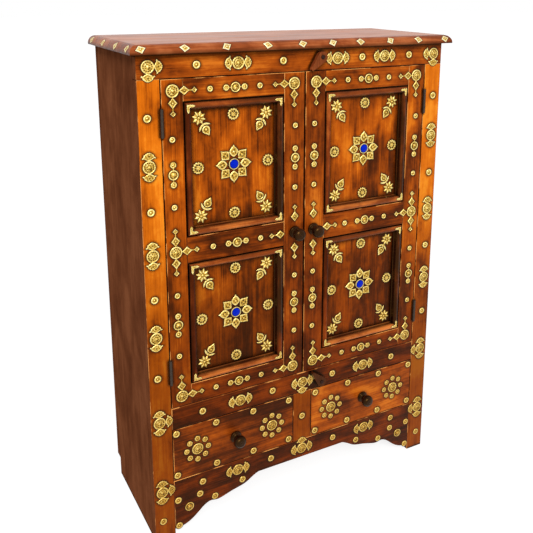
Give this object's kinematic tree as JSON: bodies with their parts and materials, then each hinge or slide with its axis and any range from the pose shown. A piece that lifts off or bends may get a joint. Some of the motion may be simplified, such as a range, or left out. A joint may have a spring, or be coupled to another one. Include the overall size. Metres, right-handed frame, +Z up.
{
  "type": "brass mounted cabinet",
  "caption": "Tall wooden cabinet with paired panelled doors over paired drawers, brass rosettes and studs, turned knobs, turn-buttons and a shaped apron.",
  "frame": {"origin": "on the floor, at the middle of the whole cabinet's width and depth", "axes": "+Z up along the height, +X to the cabinet's right as seen from the front, the front faces -Y"},
  "size_m": [0.8504, 0.356, 1.2],
  "materials": {
    "front_wood": "glossy orange-brown stain with dark brown patches",
    "panel_wood": "glossy orange-brown stain",
    "side_wood": "satin dark brown stain with upright grain",
    "top_wood": "satin red-brown",
    "inside_wood": "plain unpolished wood",
    "moulding_wood": "glossy very dark brown",
    "knob_wood": "polished dark brown",
    "brass": "antique stamped sheet",
    "blue_stone": "polished opaque deep blue",
    "hinge_steel": "black"
  },
  "bodies": {
    "cabinet": {"side_panel_left": "side_wood", "side_panel_right": "side_wood", "back_boards": "inside_wood", "top_board": "top_wood", "cupboard_floor": "inside_wood", "cupboard_shelf": "inside_wood", "shelf_cleats": "inside_wood", "door_stops": "inside_wood", "drawer_partition": "inside_wood", "drawer_runners": "inside_wood", "hinge_leaves_fixed": "hinge_steel", "frame_screws": "hinge_steel", "hinge_pins": "hinge_steel", "face_stile_left": "front_wood", "face_stile_right": "front_wood", "face_rail_top": "front_wood", "face_rail_middle": "front_wood", "drawer_divider": "front_wood", "face_rail_bottom": "front_wood", "frame_mounts": "brass", "nosing_diamonds": "brass"},
    "door_left": {"door_left_hinge_stile": "front_wood", "door_left_meeting_stile": "front_wood", "door_left_rail_bottom": "front_wood", "door_left_rail_middle": "front_wood", "door_left_rail_top": "front_wood", "door_left_panels": "panel_wood", "door_left_mouldings": "moulding_wood", "door_left_knob": "knob_wood", "door_left_hinge_leaves": "hinge_steel", "door_left_hinge_screws": "hinge_steel", "door_left_frame_mounts": "brass", "door_left_panel_mounts": "brass", "door_left_cabochons": "blue_stone"},
    "door_right": {"door_right_hinge_stile": "front_wood", "door_right_meeting_stile": "front_wood", "door_right_rail_bottom": "front_wood", "door_right_rail_middle": "front_wood", "door_right_rail_top": "front_wood", "door_right_panels": "panel_wood", "door_right_mouldings": "moulding_wood", "door_right_knob": "knob_wood", "door_right_hinge_leaves": "hinge_steel", "door_right_hinge_screws": "hinge_steel", "door_right_frame_mounts": "brass", "door_right_panel_mounts": "brass", "door_right_cabochons": "blue_stone"},
    "drawer_left": {"drawer_left_front": "front_wood", "drawer_left_walls": "inside_wood", "drawer_left_bottom": "inside_wood", "drawer_left_knob": "knob_wood", "drawer_left_mounts": "brass"},
    "drawer_right": {"drawer_right_front": "front_wood", "drawer_right_walls": "inside_wood", "drawer_right_bottom": "inside_wood", "drawer_right_knob": "knob_wood", "drawer_right_mounts": "brass"},
    "turn_button_top": {"turn_button_top": "knob_wood"},
    "turn_button_lower": {"turn_button_lower": "knob_wood"}
  },
  "joints": [
    {"name": "door_left_hinge", "type": "hinge", "parent": "cabinet", "child": "door_left", "pos_m": [-0.355, -0.1458, 0.735], "axis": [0, 0, -1], "range_deg": [0, 165]},
    {"name": "door_right_hinge", "type": "hinge", "parent": "cabinet", "child": "door_right", "pos_m": [0.355, -0.1458, 0.735], "axis": [0, 0, 1], "range_deg": [0, 165]},
    {"name": "drawer_left_slide", "type": "slide", "parent": "cabinet", "child": "drawer_left", "axis": [0, -1, 0], "range_m": [0, 0.22]},
    {"name": "drawer_right_slide", "type": "slide", "parent": "cabinet", "child": "drawer_right", "axis": [0, -1, 0], "range_m": [0, 0.22]},
    {"name": "turn_button_top_pivot", "type": "hinge", "parent": "cabinet", "child": "turn_button_top", "pos_m": [0.038, -0.1517, 1.158], "axis": [0, -1, 0], "range_deg": [-46, 134]},
    {"name": "turn_button_lower_pivot", "type": "hinge", "parent": "cabinet", "child": "turn_button_lower", "pos_m": [0.05, -0.1517, 0.3125], "axis": [0, -1, 0], "range_deg": [-130, 50]}
  ]
}
